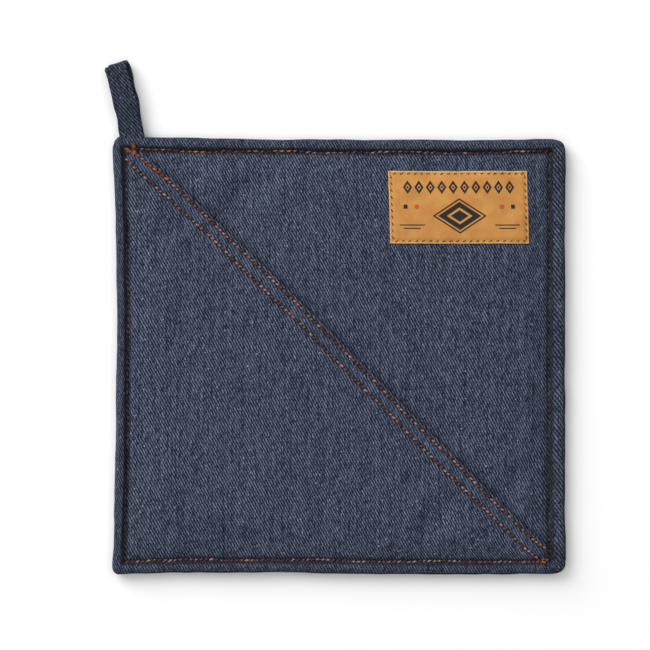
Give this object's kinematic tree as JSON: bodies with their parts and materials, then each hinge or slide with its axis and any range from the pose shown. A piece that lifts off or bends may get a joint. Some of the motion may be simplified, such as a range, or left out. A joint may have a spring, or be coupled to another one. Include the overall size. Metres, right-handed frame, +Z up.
{
  "type": "pot holder",
  "caption": "Square padded denim pot holder with a rolled, topstitched rim, a lapped diagonal seam, a sewn-on leather-board label and a fabric hanging loop at one corner.",
  "frame": {"origin": "centre of the padded body's flat back face, which lies on the table", "axes": "+Z up through the front face, +Y towards the edge that carries the hanging loop, +X to the right seen from the front"},
  "size_m": [0.2263, 0.2514, 0.01],
  "materials": {
    "denim_front": "matt indigo denim, left-hand twill",
    "denim_back": "matt indigo denim, left-hand twill",
    "denim_loop": "matt indigo denim, left-hand twill",
    "wadding": "soft white needled cotton",
    "patch": "smooth tan leather board",
    "copper_thread": "copper-orange sewing thread",
    "patch_thread": "tan sewing thread",
    "pale_thread": "undyed sewing thread"
  },
  "bodies": {
    "pad": {"back_panel": "denim_back", "front_panel_upper": "denim_front", "front_panel_lower": "denim_front", "wadding": "wadding", "leather_patch": "patch", "loop_tail": "denim_loop", "edge_needle_thread": "copper_thread", "edge_bobbin_thread": "copper_thread", "closing_seam_thread": "pale_thread", "seam_needle_thread_upper": "copper_thread", "seam_needle_thread_lower": "copper_thread", "seam_bobbin_thread_upper": "pale_thread", "seam_bobbin_thread_lower": "pale_thread", "patch_needle_thread": "patch_thread", "patch_bobbin_thread": "pale_thread", "loop_bar_tack": "copper_thread"},
    "loop": {"hanging_loop": "denim_loop"}
  },
  "joints": [
    {"name": "loop_flex", "type": "hinge", "parent": "pad", "child": "loop", "pos_m": [-0.1017, 0.1086, 0.00425], "axis": [1, 0, 0], "range_deg": [-90, 90]}
  ]
}
